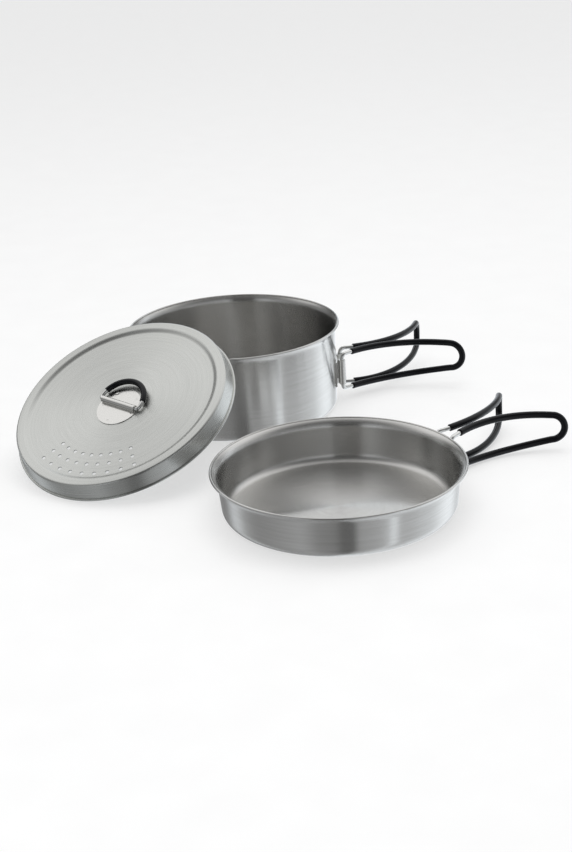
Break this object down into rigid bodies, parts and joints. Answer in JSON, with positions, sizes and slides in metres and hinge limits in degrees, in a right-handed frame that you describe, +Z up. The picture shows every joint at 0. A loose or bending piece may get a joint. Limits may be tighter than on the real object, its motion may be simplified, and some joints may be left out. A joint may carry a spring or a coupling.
{
  "type": "camping cook pot set",
  "caption": "Nesting steel camp cookware: a deep pot and a shallow pan with folding wire handles, and a strainer lid with a hinged ring.",
  "frame": {"origin": "centre of the pot's flat base, which stands on the ground", "axes": "+Z up, along the pot's axis; +X towards the pot's handle; +Y away from the pan"},
  "size_m": [0.4336, 0.41, 0.094],
  "materials": {
    "steel": "brushed round the axis",
    "bracket": "satin",
    "wire": "bright drawn wire",
    "sleeve": "smooth semi-gloss tubing"
  },
  "bodies": {
    "pot": {"pot_shell": "steel", "pot_bracket": "bracket"},
    "pan": {"pan_shell": "steel", "pan_bracket": "bracket"},
    "lid": {"lid_disc": "steel", "lid_ring_bracket": "bracket"},
    "pot_handle_near": {"pot_handle_near_wire": "wire", "pot_handle_near_sleeve": "sleeve"},
    "pot_handle_far": {"pot_handle_far_wire": "wire", "pot_handle_far_sleeve": "sleeve"},
    "pan_handle_near": {"pan_handle_near_wire": "wire", "pan_handle_near_sleeve": "sleeve"},
    "pan_handle_far": {"pan_handle_far_wire": "wire", "pan_handle_far_sleeve": "sleeve"},
    "lid_ring": {"lid_ring_wire": "wire", "lid_ring_sleeve": "sleeve"}
  },
  "joints": [
    {"name": "pan_place", "type": "slide", "parent": "pot", "child": "pan", "axis": [0, 0, 1], "range_m": [0, 0.3]},
    {"name": "lid_place", "type": "slide", "parent": "pot", "child": "lid", "axis": [0, 0, 1], "range_m": [0, 0.3]},
    {"name": "pot_handle_near_fold", "type": "hinge", "parent": "pot", "child": "pot_handle_near", "pos_m": [0.09094, -0.00389, 0.0275], "axis": [0, 0, -1], "range_deg": [0, 139]},
    {"name": "pot_handle_far_fold", "type": "hinge", "parent": "pot", "child": "pot_handle_far", "pos_m": [0.08999, 0.01369, 0.0275], "axis": [0, 0, 1], "range_deg": [0, 87.5]},
    {"name": "pan_handle_near_fold", "type": "hinge", "parent": "pan", "child": "pan_handle_near", "pos_m": [0.16348, -0.17607, 0.0183], "axis": [0, 0, -1], "range_deg": [0, 114.5]},
    {"name": "pan_handle_far_fold", "type": "hinge", "parent": "pan", "child": "pan_handle_far", "pos_m": [0.15402, -0.16122, 0.0183], "axis": [0, 0, 1], "range_deg": [0, 103.5]},
    {"name": "lid_ring_lift", "type": "hinge", "parent": "lid", "child": "lid_ring", "pos_m": [-0.0896, -0.11967, 0.05308], "axis": [0.7654, -0.642, -0.0446], "range_deg": [0, 169]}
  ]
}
